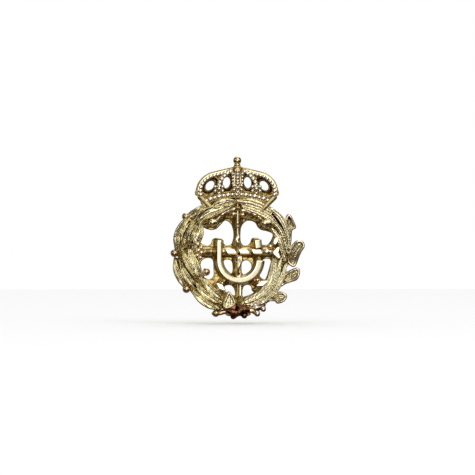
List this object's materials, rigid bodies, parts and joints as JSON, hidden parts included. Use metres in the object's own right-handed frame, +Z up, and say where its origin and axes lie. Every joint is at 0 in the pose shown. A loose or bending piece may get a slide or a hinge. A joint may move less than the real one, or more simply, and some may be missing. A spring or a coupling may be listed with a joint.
{
  "type": "cap badge",
  "caption": "Openwork gilt cap badge: a crown over a laurel and oak wreath round a staff, rope-twisted baton and bow, with screw posts and knurled nuts behind.",
  "frame": {"origin": "midway between the two posts, in the plane of the pads that rest on the cap's cloth", "axes": "+Z up as worn, the face looks along -Y, the posts point along +Y"},
  "size_m": [0.0345, 0.0127, 0.0421],
  "materials": {
    "polished_gilt": "polished gilt brass",
    "satin_gilt": "granular satin gilt brass",
    "dark_gilt": "darker recessed gilt brass",
    "plain_brass": "plain turned brass"
  },
  "bodies": {
    "badge": {"laurel_ring_plate": "dark_gilt", "oak_ring_plate": "dark_gilt", "device_plate": "dark_gilt", "crown_plate": "dark_gilt", "laurel_leaves_outer": "satin_gilt", "laurel_leaves_middle": "satin_gilt", "laurel_leaves_inner": "satin_gilt", "laurel_berries": "polished_gilt", "oak_stem": "satin_gilt", "oak_leaves_ring": "satin_gilt", "oak_leaves_outer": "satin_gilt", "tie_band": "polished_gilt", "tie_leaf": "satin_gilt", "stem_ends": "polished_gilt", "crown_band": "satin_gilt", "crown_band_stones": "polished_gilt", "crown_shoulders": "satin_gilt", "crown_arch_left_outer": "satin_gilt", "crown_arch_left_inner": "satin_gilt", "crown_arch_centre": "satin_gilt", "crown_arch_right_inner": "satin_gilt", "crown_arch_right_outer": "satin_gilt", "crown_pearls": "polished_gilt", "crown_fleurons": "polished_gilt", "crown_collar": "polished_gilt", "crown_orb": "polished_gilt", "staff_upper": "polished_gilt", "staff_lower": "polished_gilt", "staff_foot": "polished_gilt", "staff_tip": "polished_gilt", "baton_shaft": "polished_gilt", "baton_rope": "polished_gilt", "baton_finial_left": "polished_gilt", "baton_finial_right": "polished_gilt", "bow": "polished_gilt", "bow_tip": "polished_gilt", "toggles": "polished_gilt", "scroll_left": "polished_gilt", "scroll_right": "polished_gilt", "left_post_pad": "plain_brass", "left_post": "plain_brass", "right_post_pad": "plain_brass", "right_post": "plain_brass"},
    "left_washer": {"left_washer": "plain_brass"},
    "left_nut": {"left_nut": "plain_brass"},
    "right_washer": {"right_washer": "plain_brass"},
    "right_nut": {"right_nut": "plain_brass"}
  },
  "joints": [
    {"name": "left_nut_travel", "type": "slide", "parent": "badge", "child": "left_washer", "axis": [0, 1, 0], "range_m": [0, 0.0054]},
    {"name": "left_nut_turn", "type": "hinge", "parent": "left_washer", "child": "left_nut", "pos_m": [-0.012, 0.003, 0], "axis": [0, 1, 0], "range_deg": [0, 4320]},
    {"name": "right_nut_travel", "type": "slide", "parent": "badge", "child": "right_washer", "axis": [0, 1, 0], "range_m": [0, 0.0054]},
    {"name": "right_nut_turn", "type": "hinge", "parent": "right_washer", "child": "right_nut", "pos_m": [0.012, 0.003, 0], "axis": [0, 1, 0], "range_deg": [0, 4320]}
  ],
  "couplings": [
    {"joint": "left_nut_turn", "follows": "left_nut_travel", "rad_per_m": 13963},
    {"joint": "right_nut_turn", "follows": "right_nut_travel", "rad_per_m": 13963}
  ]
}
